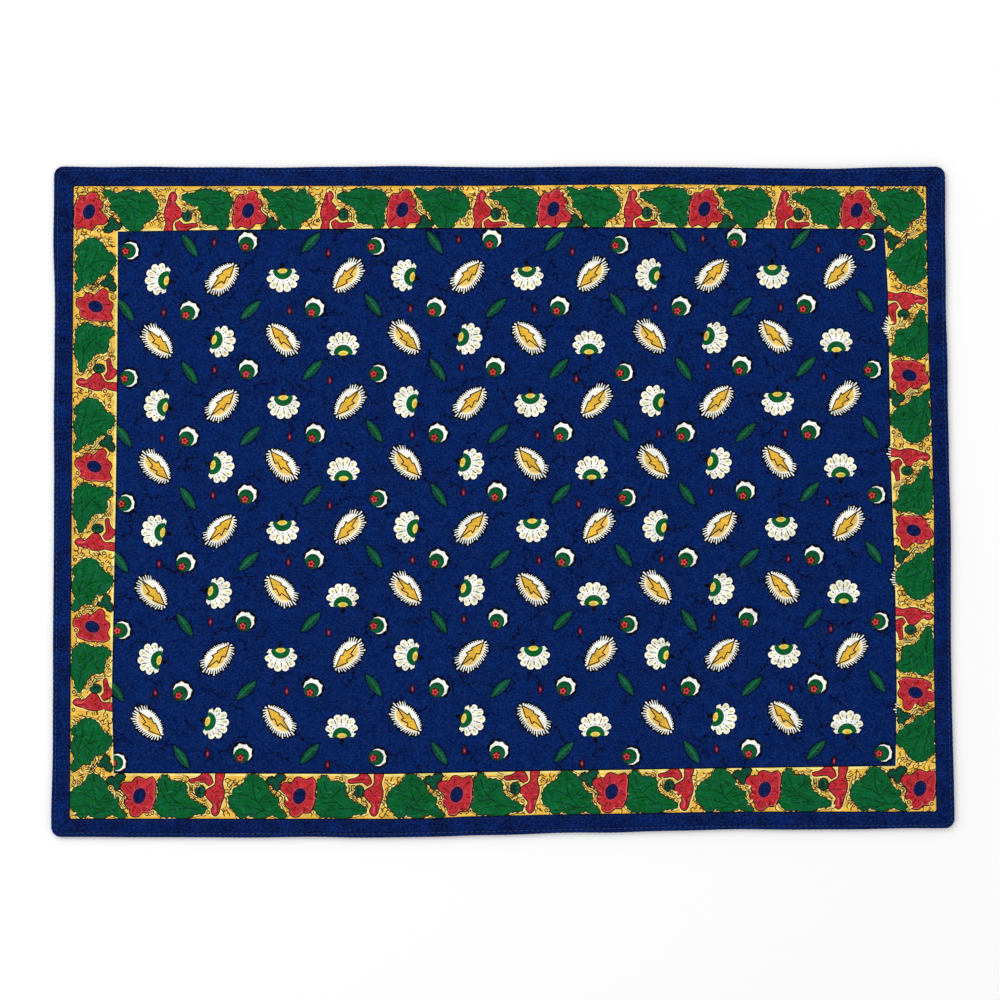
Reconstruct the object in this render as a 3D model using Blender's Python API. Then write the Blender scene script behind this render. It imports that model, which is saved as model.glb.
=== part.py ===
"""Fabric placemat: a printed cotton panel with a navy tape bound round its edge.

Units are metres and +Z is up. The mat lies on the plane z = 0, with the middle of its outline's
box at the origin. +X runs to the right along the long side, +Y to the back along the short side.
"""

import math

import bmesh
import bpy
from mathutils import Vector

MM = 0.001

# Driving dimensions of the cut, in millimetres. The mat is 470 x 350 in the mean, and as sewn it
# is a little wider and deeper at its front left than at its back right.
# Corners run anticlockwise seen from above: front left, front right, back right, back left.
OUTER_CORNERS = [(-236.9, -175.6), (236.9, -171.1), (231.6, 176.0), (-235.4, 176.0)]
INNER_CORNERS = [(-227.4, -166.3), (227.4, -162.4), (221.9, 165.8), (-225.3, 165.8)]
OUTER_RADIUS = 5.0
INNER_RADIUS = 1.2

# How far each side bulges outwards from the straight line between its corners.
# A row is the fraction along the side, walking anticlockwise, and the bulge in millimetres.
OUTER_WAVES = {
    "front": [(0.12, 0.9), (0.25, 1.3), (0.36, 2.0), (0.47, 1.4), (0.58, 0.5), (0.73, -0.3)],
    "right": [(0.17, -0.5), (0.50, 0.2), (0.75, -0.3)],
    "back": [(0.13, -1.1), (0.35, 0.0), (0.47, -0.4), (0.63, 0.0), (0.80, -0.6)],
    "left": [(0.08, 0.0), (0.25, -0.5), (0.70, -0.5), (0.90, -0.3)],
}
INNER_WAVES = {
    "front": [(0.10, 0.3), (0.26, 1.0), (0.39, 1.5), (0.49, 0.3), (0.61, -0.2), (0.76, -0.7)],
    "right": [(0.23, 0.0), (0.35, 0.6), (0.48, 1.3), (0.59, 0.9), (0.74, 0.0)],
    "back": [(0.10, 0.0), (0.31, 1.0), (0.55, 0.2)],
    "left": [],
}
SIDES = ["front", "right", "back", "left"]
STATIONS = {"front": 24, "right": 18, "back": 24, "left": 18}
CORNER_STEPS = 6

# Thicknesses, in millimetres
PANEL_THICKNESS = 1.5       # the loose middle of the panel
RIM_THICKNESS = 0.9         # the panel's rim, pressed flat between the tape's two legs
TAPE_THICKNESS = 0.7        # the tape with its raw edge turned under
CLEARANCE = 0.3             # between the tape and the panel's rim

RIM_BOTTOM = TAPE_THICKNESS + CLEARANCE
RIM_TOP = RIM_BOTTOM + RIM_THICKNESS
LEG_UNDERSIDE = RIM_TOP + CLEARANCE
TAPE_TOP = LEG_UNDERSIDE + TAPE_THICKNESS

# Places across the binding, as fractions from its outer edge (0) to its inner edge (1)
POCKET_WALL = 0.16          # inside of the tape's fold
RIM_EDGE = 0.20             # the panel's cut edge in that pocket
UNDER_STEP = 1.04           # where the panel's underside leaves the lower leg
UNDER_FLAT = 1.15           # where it lies on the table
TOP_FLAT = 1.25             # where the panel's top is level

NAVY_TAPE = (0.012, 0.030, 0.130, 1.0)
PRINTED_COTTON = (0.010, 0.028, 0.150, 1.0)


def clear_scene():
    """Remove every object, so that the model starts from an empty scene."""
    for item in list(bpy.data.objects):
        bpy.data.objects.remove(item, do_unlink=True)


def cloth_material(name, colour, roughness):
    """A plain woven cotton finish."""
    material = bpy.data.materials.new(name)
    material.use_nodes = True
    shader = material.node_tree.nodes["Principled BSDF"]
    shader.inputs["Base Color"].default_value = colour
    shader.inputs["Roughness"].default_value = roughness
    shader.inputs["Metallic"].default_value = 0.0
    material.diffuse_color = colour
    return material


def bulge(rows, fraction):
    """Smooth bulge at a fraction along a side. It is zero at both ends of the side."""
    knots = [(0.0, 0.0)] + rows + [(1.0, 0.0)]
    for (start, low), (end, high) in zip(knots, knots[1:]):
        if fraction <= end:
            eased = 0.5 - 0.5 * math.cos(math.pi * (fraction - start) / (end - start))
            return low + (high - low) * eased
    return 0.0


def corner_arc(corner, arriving, leaving, radius):
    """Points of the round corner between two side directions."""
    turn = arriving.angle(leaving)
    reach = radius * math.tan(turn / 2)
    first = corner - arriving * reach
    inward = Vector((-arriving.y, arriving.x))
    centre = first + inward * radius
    spoke = first - centre
    points = []
    for step in range(CORNER_STEPS + 1):
        angle = turn * step / CORNER_STEPS
        turned = Vector((spoke.x * math.cos(angle) - spoke.y * math.sin(angle),
                         spoke.x * math.sin(angle) + spoke.y * math.cos(angle)))
        points.append(centre + turned)
    return points


def edge_rail(corners, waves, radius):
    """Closed loop of points along an edge, anticlockwise from the front left corner's arc."""
    marks = [Vector(corner) for corner in corners]
    count = len(marks)
    along = [(marks[(i + 1) % count] - marks[i]).normalized() for i in range(count)]
    arcs = [corner_arc(marks[i], along[i - 1], along[i], radius) for i in range(count)]
    points = []
    for i, side in enumerate(SIDES):
        points += arcs[i]
        start, end = arcs[i][-1], arcs[(i + 1) % count][0]
        outward = Vector((along[i].y, -along[i].x))
        for step in range(1, STATIONS[side]):
            fraction = step / STATIONS[side]
            points.append(start.lerp(end, fraction) + outward * bulge(waves[side], fraction))
    return points


def box_middle(points):
    """Middle of the box round a loop of points."""
    xs = [point.x for point in points]
    ys = [point.y for point in points]
    return Vector(((min(xs) + max(xs)) / 2, (min(ys) + max(ys)) / 2))


def ring_of_points(mesh, outer, inner, across, height):
    """One closed loop of vertices at a place across the binding and a height."""
    ring = []
    for edge, seam in zip(outer, inner):
        place = edge.lerp(seam, across)
        ring.append(mesh.verts.new((place.x * MM, place.y * MM, height * MM)))
    return ring


def skin(mesh, lower, upper):
    """Faces between two loops that have the same number of points."""
    count = len(lower)
    for i in range(count):
        j = (i + 1) % count
        mesh.faces.new((lower[i], lower[j], upper[j], upper[i]))


def finished_object(name, mesh, material):
    """Turn the faces outwards, shade them smooth and link the object."""
    bmesh.ops.recalc_face_normals(mesh, faces=mesh.faces)
    data = bpy.data.meshes.new(name)
    mesh.to_mesh(data)
    mesh.free()
    data.materials.append(material)
    data.shade_smooth()
    data.set_sharp_from_angle(angle=math.radians(35))
    piece = bpy.data.objects.new(name, data)
    bpy.context.scene.collection.objects.link(piece)
    return piece


def make_edge_binding(outer, inner):
    """The tape: a channel folded over the panel's rim, with a puffed top and a rounded fold."""
    # A row is the place across the binding and the height, once round the tape's section.
    section = [
        (1.00, LEG_UNDERSIDE),          # inner edge, where the tape is turned under
        (1.00, TAPE_TOP - 0.40),
        (0.94, TAPE_TOP - 0.12),
        (0.62, TAPE_TOP),               # puffed between the two rows of stitches
        (0.28, TAPE_TOP - 0.12),
        (0.21, TAPE_TOP - 0.30),        # drawn down by the outer row of stitches
        (0.12, TAPE_TOP - 0.14),        # the roll outside that row
        (0.04, TAPE_TOP - 0.50),
        (0.00, TAPE_TOP / 2),
        (0.03, 0.35),
        (0.09, 0.0),
        (1.00, 0.0),
        (1.00, TAPE_THICKNESS),
        (POCKET_WALL, TAPE_THICKNESS),
        (POCKET_WALL, LEG_UNDERSIDE),
    ]
    mesh = bmesh.new()
    rings = [ring_of_points(mesh, outer, inner, across, height) for across, height in section]
    for ring, following in zip(rings, rings[1:] + rings[:1]):
        skin(mesh, ring, following)
    return finished_object("edge_binding", mesh, cloth_material("navy_tape", NAVY_TAPE, 0.85))


def make_printed_panel(outer, inner):
    """The panel: flat on the table in its middle, its rim raised into the tape's pocket."""
    mesh = bmesh.new()
    rows = [
        (UNDER_FLAT, 0.0),
        (UNDER_STEP, RIM_BOTTOM),
        (RIM_EDGE, RIM_BOTTOM),
        (RIM_EDGE, RIM_TOP),
        (1.00, RIM_TOP),
        (TOP_FLAT, PANEL_THICKNESS),
    ]
    rings = [ring_of_points(mesh, outer, inner, across, height) for across, height in rows]
    for ring, following in zip(rings, rings[1:]):
        skin(mesh, ring, following)
    mesh.faces.new(rings[0])
    mesh.faces.new(rings[-1])
    return finished_object("printed_panel", mesh,
                           cloth_material("printed_cotton", PRINTED_COTTON, 0.80))


def main():
    clear_scene()
    outer = edge_rail(OUTER_CORNERS, OUTER_WAVES, OUTER_RADIUS)
    inner = edge_rail(INNER_CORNERS, INNER_WAVES, INNER_RADIUS)
    middle = box_middle(outer)
    outer = [point - middle for point in outer]
    inner = [point - middle for point in inner]
    make_printed_panel(outer, inner)
    make_edge_binding(outer, inner)


main()
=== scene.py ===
# %% [markdown]
# # Fabric placemat
#
# The real mat is one printed cotton cloth with a navy tape sewn round its edge. The cloth has a
# navy field strewn with small flowers and leaves, and a yellow border with poppies, lilies and
# vine leaves. Everything here starts from the frame: the plain CAD model of the same mat, whose
# sizes are the real ones. The script reads the outline from it and dresses it.

# %% Frame and tools
import functools
import math
import random

import bmesh
import bpy
import numpy as np
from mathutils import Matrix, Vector
from mathutils.geometry import delaunay_2d_cdt


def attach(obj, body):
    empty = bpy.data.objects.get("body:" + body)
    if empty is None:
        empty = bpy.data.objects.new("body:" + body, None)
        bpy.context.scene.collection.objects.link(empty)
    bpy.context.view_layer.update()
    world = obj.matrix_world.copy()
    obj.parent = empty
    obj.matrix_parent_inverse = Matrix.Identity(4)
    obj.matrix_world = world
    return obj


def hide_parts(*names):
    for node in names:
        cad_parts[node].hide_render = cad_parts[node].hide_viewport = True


MM = 0.001
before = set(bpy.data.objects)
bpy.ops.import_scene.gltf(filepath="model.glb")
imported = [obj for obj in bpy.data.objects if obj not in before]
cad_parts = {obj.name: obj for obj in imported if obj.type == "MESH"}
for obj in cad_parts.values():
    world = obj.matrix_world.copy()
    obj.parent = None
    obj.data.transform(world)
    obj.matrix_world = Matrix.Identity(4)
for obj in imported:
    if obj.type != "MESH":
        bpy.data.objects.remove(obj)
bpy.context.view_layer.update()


# %% [markdown]
# ## Where the edges run
#
# A sewn mat is never a true rectangle. The CAD model holds this one's uneven outline, so its two
# long lines are read back from it: the outer edge and the seam, which is the tape's inner edge. The
# CAD tape has a row of corners at one height along each, and they are put in order by their angle
# round the middle. Both loops start at the front left corner, so point n of one faces point n of
# the other.

# %% Outer edge and seam
SIDE_HEIGHT, SEAM_HEIGHT = 1.45, 2.5        # of the tape's two rows of corners, in mm
SIDE_GAP, ARC_GAP = 8, 3        # mm: points lie further apart on a side, and closer on a round corner


def gaps_after(loop):
    """The distance from each point of a loop to the next."""
    return np.linalg.norm(np.roll(loop, -1, 0) - loop, axis=1)


def level_loop(height):
    """The CAD tape's points at one height, in order round the mat from its front left corner."""
    found = set()
    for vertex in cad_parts["edge_binding"].data.vertices:
        if abs(vertex.co.z / MM - height) < 0.02:
            found.add((round(vertex.co.x / MM, 3), round(vertex.co.y / MM, 3)))
    loop = np.array(sorted(found, key=lambda p: math.atan2(p[1], p[0])))
    gaps = gaps_after(loop)
    starts = (np.roll(gaps, 1) > SIDE_GAP) & (gaps < ARC_GAP) & np.all(loop < 0, axis=1)
    return np.roll(loop, -int(np.argmax(starts)), 0)


outer_edge, seam = level_loop(SIDE_HEIGHT), level_loop(SEAM_HEIGHT)
print("points in the outer edge and the seam", len(outer_edge), len(seam))


# %% [markdown]
# ## Drawing with outlines
#
# The print is drawn as a fabric printer's designer would cut it: flat closed shapes in flat inks,
# each laid over the ones before it. A shape is a list of points in millimetres. A few helpers make
# ovals, petals, leaves and brush strokes, move and turn them, and grow them for an outline.

# %% Shapes
def around(count, first=0.0, sweep=360.0):
    """Evenly spaced angles in radians. A full turn leaves its end out."""
    steps = count if sweep >= 360.0 else count - 1
    return [math.radians(first + sweep * n / steps) for n in range(count)]


def arc(wide, high, count, first=0.0, sweep=360.0):
    """Points on an oval round (0, 0), by its half width, half height and angles in degrees."""
    return [(wide * math.cos(a), high * math.sin(a)) for a in around(count, first, sweep)]


def oval(x, y, wide, high, count):
    """An upright oval by its middle, its half width and its half height."""
    return np.add(arc(wide, high, count), (x, y))


def moved(outline, x=0.0, y=0.0, turn=0.0, size=1.0):
    """The outline scaled, turned by degrees and then moved."""
    c, s = math.cos(math.radians(turn)) * size, math.sin(math.radians(turn)) * size
    return np.asarray(outline, float) @ np.array([(c, s), (-s, c)]) + (x, y)


def unit_left(along):
    """Unit vectors to the left of some directions."""
    along = along / np.maximum(np.linalg.norm(along, axis=1), 1e-9)[:, None]
    return np.stack([-along[:, 1], along[:, 0]], 1)


def grown(outline, by):
    """The outline moved outwards, or inwards for less than nothing."""
    points = np.asarray(outline, float)
    ahead = np.roll(points, -1, 0)
    area = np.sum(points[:, 0] * ahead[:, 1] - points[:, 1] * ahead[:, 0])
    return points - unit_left(ahead - np.roll(points, 1, 0)) * by * (1 if area > 0 else -1)


def stroke(ink, points, start, end=None, middle=None, x=0.0, y=0.0, turn=0.0):
    """A brush line in an ink, by its width at the start, the end and the middle, moved to a place."""
    points = np.asarray(points, float)
    end = start if end is None else end
    middle = (start + end) / 2 if middle is None else middle
    half = np.interp(np.linspace(0, 1, len(points)), [0, 0.5, 1], [start, middle, end])[:, None] / 2
    out = unit_left(np.gradient(points, axis=0)) * half
    return ink, moved(np.concatenate([points + out, (points - out)[::-1]]), x, y, turn)


def smooth_step(a, b, c, d, f):
    """A point at the fraction f between b and c, on a smooth curve through a, b, c and d."""
    return 0.5 * (2 * b + (c - a) * f + (2 * a - 5 * b + 4 * c - d) * f * f
                  + (3 * b - a - 3 * c + d) * f ** 3)


def curve(points, count=10):
    """A smooth line through a few points."""
    points = np.asarray(points, float)
    knots = np.concatenate([[2 * points[0] - points[1]], points, [2 * points[-1] - points[-2]]])
    found = []
    for t in np.linspace(0, len(points) - 1, count):
        i = min(int(t), len(points) - 2)
        found.append(smooth_step(*knots[i:i + 4], t - i))
    return np.array(found)


def closed_curve(points, each=3):
    """A smooth closed outline through a few points."""
    points = np.asarray(points, float)
    count = len(points)
    found = []
    for i in range(count):
        knots = [points[(i + k) % count] for k in (-1, 0, 1, 2)]
        found += [smooth_step(*knots, f) for f in np.arange(each) / each]
    return np.array(found)


def petal(angle, root, reach, half, tip=5):
    """One petal from a root radius out to a blunt round tip, its axis at an angle in degrees."""
    blunt = [(reach + 0.8 * half * (math.cos(a) - 1), half * math.sin(a)) for a in around(tip, -80, 160)]
    return moved(blunt + [(root, 0.42 * half), (root, -0.42 * half)], turn=angle)


def pointed_oval(half_long, half_wide, count=9, fullness=0.75):
    """A leaf-like outline along X, pointed at both ends."""
    xs = [-math.cos(math.pi * n / (count - 1)) for n in range(count)]
    upper = [(half_long * x, half_wide * max(1 - x * x, 0) ** fullness) for x in xs]
    return np.array(upper[::-1] + [(x, -y) for x, y in upper[1:-1]])


def closed(loop):
    """The loop with its first point again at its end."""
    return np.concatenate([loop, loop[:1]])


def way_along(line):
    """How far each point of a line has come along it."""
    return np.r_[0, np.cumsum(np.linalg.norm(np.diff(line, axis=0), axis=1))]


def points_at(at, way, line):
    """The points at some distances along a line."""
    return np.column_stack([np.interp(at, way, line[:, 0]), np.interp(at, way, line[:, 1])])


def toothed(outline, each, depth):
    """The outline with small teeth all round, by their length and depth in mm."""
    loop = closed(outline)
    way = way_along(loop)
    count = round(way[-1] / each)
    at = (np.arange(2 * count) // 2 + np.tile([0.0, 0.72], count)) / count * way[-1]
    even = points_at(at, way, loop)
    return np.where(np.arange(2 * count)[:, None] % 2 == 0, grown(even, -depth / 2), grown(even, depth / 2))


def inside(points, outline):
    """Which points lie inside an outline, by counting the edges that they cross."""
    ends = np.roll(outline, -1, 0)
    x, y = points[:, 0:1], points[:, 1:2]
    crosses = (outline[:, 1] > y) != (ends[:, 1] > y)
    rise = np.where(ends[:, 1] == outline[:, 1], 1.0, ends[:, 1] - outline[:, 1])
    reach = outline[:, 0] + (ends[:, 0] - outline[:, 0]) * (y - outline[:, 1]) / rise
    return np.sum(crosses & (x < reach), axis=1) % 2 == 1


def in_batches(measure, points, outline, size=10000):
    """A measure of many points against an outline, some thousands at a time to spare memory."""
    starts = range(0, max(len(points), 1), size)
    return np.concatenate([measure(points[n:n + size], outline) for n in starts])


print("a daisy petal has", len(petal(90, 3, 12, 2)), "points")


# %% [markdown]
# ## Inks
#
# A printed cotton of this kind uses a dozen or so pigment inks. Their colours are sRGB hex values,
# as a designer writes them, and one function turns them into the linear numbers that Blender
# calculates with.

# %% Inks
INKS = {
    "navy": "#032058",
    "twig": "#010f38",
    "black": "#060a14",
    "white": "#f5f6ee",
    "cream": "#f4edc8",
    "olive": "#c6ba76",
    "petal_line": "#4f4228",
    "leaf_green": "#0a5a2e",
    "deep_green": "#063a1d",
    "mid_green": "#166b40",
    "dull_green": "#0c4433",
    "sage": "#2b6b50",
    "lemon": "#ded66e",
    "gold": "#e0b03c",
    "gold_wash": "#e6bf62",
    "pale_gold": "#f2dfae",
    "brown": "#4f2c06",
    "umber": "#2c1606",
    "red": "#b62c34",
    "dark_red": "#771020",
    "rose": "#cf5a5c",
    "wine": "#3a0a2c",
    "pink": "#9a4d6e",
    "blue_heart": "#051c4e",
    "yellow": "#ebbb4c",
    "pale_yellow": "#efdc86",
}
INK_NAMES = list(INKS)


def linear(code):
    """Linear red, green, blue and alpha from an sRGB hex value."""
    parts = [int(code[n:n + 2], 16) / 255 for n in (1, 3, 5)]
    return [c / 12.92 if c < 0.04045 else ((c + 0.055) / 1.055) ** 2.4 for c in parts] + [1.0]


print("inks", len(INKS), "navy is", [round(c, 4) for c in linear(INKS["navy"])])


# %% [markdown]
# ## The field's small motifs
#
# Five motifs are strewn over the navy field: a half daisy, a gold leaf in a fringed white halo, a
# green bud with a white crescent, a small dark leaf and a tiny red bud. Each is drawn once, by its
# own function, round its own middle. A motif is a list of inks and outlines in painter's order.

# %% Half daisy
PETAL_STEP = 23.5       # degrees between two petals


def half_daisy():
    """Eight blunt petals fanned from a green half-disc. It faces +Y from its heart at (0, 0)."""
    def reach_at(angle):
        return 11.6 - 4.9 * (abs(angle - 90) / (3.5 * PETAL_STEP)) ** 2.7

    fan = [(90 + (n - 3.5) * PETAL_STEP, 1.9 - 0.5 * (abs(n - 3.5) / 3.5) ** 2) for n in range(8)]
    spots = [(ink, petal(angle, 3.0, reach_at(angle) + longer, half + wider))
             for ink, longer, wider in (("black", 0.7, 0.6), ("white", 0, 0)) for angle, half in fan]
    filling = [(reach_at(math.degrees(a)) - 1.5, a) for a in around(13, 6, 168)]
    spots.append(("white", [(r * math.cos(a), r * math.sin(a)) for r, a in filling]))
    for n, (angle, half) in enumerate(fan):
        reach = reach_at(angle)
        spots.append(("cream", petal(angle, 7.2, reach - 0.8, 0.55 * half, 4)))
        if 0 < n < 7:
            spots.append(("olive", moved(oval(reach - 2.2, (0.3, -0.4)[n % 2], 1.2, 0.45, 6), turn=angle)))
    for n in range(7):
        angle = 90 + (n - 3) * PETAL_STEP
        spots.append(("petal_line", moved(oval(5.9, 0, 0.45, 0.38, 4), turn=angle)))
        far = reach_at(angle) - 2.1 - (0.4 if n % 2 else 0)
        if far > 7.6:
            spots.append(stroke("petal_line", [(6.9, 0), (far, 0)], 0.6, 0.5, turn=angle))
    stalk = [(-1.3, -0.9), (-1.0, -3.2), (-0.4, -4.6), (0.3, -4.4), (0.9, -3.4), (1.3, -0.9)]
    heart = arc(5.1, 4.75, 11, 0, 180) + [(-3.2, -0.8), (0, -1.25), (3.2, -0.8)]
    eye = arc(2.65, 1.65, 7, 0, 180) + [(-1.3, -0.85), (1.3, -0.85)]
    return spots + [("black", stalk), ("deep_green", heart), ("leaf_green", grown(heart, -0.35)),
                    ("deep_green", grown(eye, 0.35)), ("lemon", eye), ("gold", oval(0, 0.1, 1.5, 0.8, 8)),
                    stroke("umber", curve([(-2.5, -0.6), (-0.3, -1.45), (2.6, -0.55)], 6), 0.3, 0.3, 0.8)]


print("half daisy:", len(half_daisy()), "shapes")


# %% Gold leaf
def gold_leaf(flip=1):
    """A gold toothed leaf in a white fringed halo, its tip along +X. A flip of -1 mirrors it."""
    halo = closed_curve([(9.0, 0.3), (7.4, 2.2), (4.5, 4.2), (0.8, 5.3), (-3.1, 5.5), (-6.2, 4.1), (-7.9, 1.3),
                         (-6.4, -2.0), (-4.0, -3.6), (-1.0, -4.2), (3.9, -3.8), (7.6, -2.2)], 3)
    loop, out_from = closed(halo), closed(grown(halo, 1.0)) - closed(halo)
    way = way_along(loop)
    fringe, shadow = [], []
    for n in range(38):
        for shift, out in ((0.0, 0.0), (0.18, 1.0), (0.50, 0.94), (0.56, 0.0)):
            at = way[-1] * (n + shift) / 38
            place = points_at(at, way, loop)[0]
            lean = points_at(at, way, out_from)[0] - (0.4, 0)
            lean /= np.linalg.norm(lean)
            long = (2.7 if place[0] < -5 else 2.1 if place[1] < 0 else 1.0) * (1.0, 0.75, 1.15, 0.85)[n % 4]
            fringe.append(place + lean * long * out)
            if out == 1.0:
                shadow.append(place + lean * (long + 0.75 + 0.4 * (n % 2)))
    leaf = [(-8.3, 1.4), (-1.4, -0.3), (-1.9, -2.0), (2.2, -0.9), (2.7, -2.5), (9.2, -0.2), (2.7, 2.9),
            (2.3, 2.0), (-1.2, 3.6), (-0.8, 2.2)]
    wash = closed_curve([(-7.3, 1.4), (-6.0, -1.4), (-3.8, -2.9), (-0.8, -3.5), (3.8, -3.1), (7.0, -1.8),
                         (8.5, 0.0), (2.4, 2.4), (-3.0, 2.4)], 2)
    spots = [("black", shadow), ("white", fringe), ("pale_gold", grown(wash, 0.4)),
             ("gold_wash", grown(wash, -0.4)), ("gold", leaf)]
    spots += [stroke("umber", [a, b], 0.6) for a, b in zip(leaf, leaf[1:] + leaf[:1])]
    return [(ink, np.asarray(outline) * (1, flip)) for ink, outline in spots]


print("gold leaf:", len(gold_leaf()), "shapes")


# %% Buds, small leaf and twig
def bud(thickness=1.0):
    """A round green bud, its spiky white crescent at +X and a red flower low on it."""
    halo, crescent = [], []
    for n, a in enumerate(around(13, -102, 204)):
        full = 1 - (abs(a) / math.radians(104)) ** 2.2
        reach = 4.05 + thickness * (2.5 - (0.8 if n % 2 else 0.0)) * full + (0.12, 0, -0.15, 0)[n % 4]
        for outline, r in ((crescent, reach), (halo, reach + (0.9, 2.0)[n % 2])):
            outline.append((r * math.cos(a), r * math.sin(a)))
    spots = [("black", halo), ("black", oval(-0.2, 0, 4.3, 4.3, 12)), ("white", crescent),
             ("dull_green", oval(0, 0, 4.05, 4.05, 16)), ("leaf_green", oval(-0.2, 0, 3.4, 3.4, 14)),
             stroke("deep_green", arc(2.8, 2.8, 4, -50, 130), 0.25, 0.25, 0.5),
             ("umber", oval(-1.5, 0, 2.3, 2.2, 12))]
    for ink, petal_shape in (("red", oval(1.05, 0, 0.85, 0.8, 6)), ("rose", oval(1.1, 0, 0.5, 0.45, 4))):
        spots += [(ink, moved(petal_shape, x=-1.5, turn=n * 72 + 20)) for n in range(5)]
    return spots + [("dark_red", oval(-1.5, 0, 0.75, 0.7, 7))]


def small_leaf():
    """A dark toothed leaf with a lighter half and a clear midrib, its tip along +X."""
    spots = [("twig", pointed_oval(8.2, 3.3, 7, 0.8)),
             ("dull_green", toothed(pointed_oval(7.2, 2.3, 9, 0.85), 1.9, 0.35)),
             ("leaf_green", [(-5.6, -0.1), (-2.6, 1.4), (1.0, 1.6), (4.2, 0.9), (6.0, 0.1)])]
    for x, y in ((-3.6, 1.2), (-1.4, -1.2), (0.8, 1.2), (3.0, -1.2)):
        spots.append(stroke("sage", [(x, 0), (x + 1.5, y)], 0.25, 0.12))
    return spots + [stroke("sage", curve([(-6.4, -0.1), (0, 0.15), (6.2, 0.0)], 5), 0.25, 0.2, 0.5)]


def tiny_bud():
    """A very small upright wine-red bud with a pink middle and a pointed top."""
    half = [(0, 2.8), (0.9, 1.4), (1.25, -0.3), (0.9, -1.8)]
    drop = half + [(0, -2.3)] + [(-x, y) for x, y in half[:0:-1]]
    return [("black", grown(drop, 0.45)), ("wine", drop), ("dark_red", oval(0, -0.2, 0.75, 1.5, 8)),
            ("pink", oval(0.05, -0.1, 0.45, 1.0, 6))]


def twig(route, side):
    """A faint thin twig with three tiny leaflets at alternate sides."""
    line = curve(route, 5)
    leaflet = moved([(-1.5, 0), (-0.2, 0.7), (1.5, 0), (-0.2, -0.7)], x=1.7)
    spots = [stroke("twig", line, 0.5, 0.4, 0.75)]
    for n in range(3):
        step = line[n + 1] - line[n]
        lean = math.degrees(math.atan2(step[1], step[0])) + (38 if (n + side) % 2 else -38)
        spots.append(("twig", moved(leaflet, *line[n], turn=lean)))
    return spots


print("bud:", len(bud()), "shapes, small leaf:", len(small_leaf()), "shapes")


# %% [markdown]
# ## The border's motifs
#
# On the yellow border run red poppies with navy hearts, broad vine leaves, red lilies seen from the
# side and small dark leaves. Each has the same finish as on old block prints: a dark edge, then a
# pale halo, then a thin brown contour. Rings, curls, waves and dashes in brown fill the ground.

# %% Poppy
def poppy():
    """A ragged red poppy with a navy heart in a purplish ring. Its top is +Y."""
    outline = closed_curve([(3.4, 9.0), (4.9, 7.4), (4.8, 5.4), (7.0, 3.8), (7.2, 1.4), (6.0, -0.4),
                            (8.9, -3.9), (9.6, -5.6), (7.8, -7.6), (4.0, -7.7), (2.4, -9.7), (0.4, -10.4),
                            (-3.2, -9.0), (-6.2, -10.4), (-7.9, -7.0), (-7.3, -2.4), (-7.4, 0.8),
                            (-6.2, 4.6), (-4.4, 7.2), (-1.4, 7.0), (0.6, 8.9)], 2)
    spots = [("umber", grown(outline, 0.6)), ("rose", outline),
             ("red", moved(grown(outline, -0.25), 0.25, -0.15))]
    for angle, near, far in ((58, 5.0, 8.4), (6, 4.2, 6.0), (-36, 5.6, 8.6), (-82, 5.4, 8.8),
                             (-128, 5.0, 9.4), (176, 4.0, 6.6), (112, 4.8, 7.0)):
        line = curve([(near, 0), ((near + far) / 2, 0.5), (far, -0.3)], 4)
        spots.append(stroke("dark_red", line, 0.35, 0.7, turn=angle))
    marks = random.Random(11)
    for n in range(26):
        near, long = marks.uniform(4.2, 7.6), marks.uniform(0.9, 1.5)
        bend = [(near, 0), (near + 0.5, marks.uniform(-0.5, 0.5)), (near + long, 0)]
        ink = ("dark_red", "rose", "dark_red")[n % 3]
        spots.append(stroke(ink, bend, 0.6, 0.35, turn=n * 13.8 + marks.uniform(-6, 6)))
    for ink, long, wide in (("pink", 4.5, 3.5), ("wine", 4.2, 3.2), ("blue_heart", 3.4, 2.4)):
        spots.append((ink, moved(oval(0, 0, long, wide, 12), 0.2, -1.1, 70)))
    return spots


print("poppy:", len(poppy()), "shapes")


# %% Vine leaves
def vine_leaf(shape, veins, seed, part, gaps):
    """A broad toothed leaf, mottled green with darker veins in a thin pale halo, and brown and pale
    lines that run along a part of its outline, at some gaps from it."""
    smooth = closed_curve(shape, 2)
    ragged, beside = toothed(smooth, 2.6, 0.6), smooth[part]
    spots = []
    for gap in gaps:
        line = beside + unit_left(np.gradient(beside, axis=0)) * gap
        spots += [stroke("brown", line, 0.5, 0.5, 1.5), stroke("pale_yellow", line, 0.1, 0.1, 0.6)]
    steps = np.arange(len(smooth))[:, None]
    wander = 0.45 * np.sin(1.9 * steps + seed) + 0.25 * np.sin(0.7 * steps)
    spots += [("brown", grown(smooth, 1.15 + wander)), ("pale_yellow", grown(smooth, 0.75 + wander)),
              ("umber", grown(ragged, 0.45)), ("leaf_green", grown(ragged, -0.1))]
    spots += [stroke("deep_green", curve(route, 7), 0.4, 0.25, 0.6) for route in veins]
    marks = random.Random(seed)
    for n in range(34):
        bend, wide = [(-1.7, 0), (0, marks.uniform(-0.7, 0.7)), (1.7, 0)], marks.uniform(0.5, 0.9)
        place = np.array([(marks.uniform(-13, 14), marks.uniform(-10, 9))])
        if inside(place, grown(smooth, -1.6))[0]:
            ink = ("deep_green", "mid_green")[n % 2]
            spots.append(stroke(ink, bend, 0.15, 0.15, wide, *place[0], marks.uniform(-80, 30)))
    return spots


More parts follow.
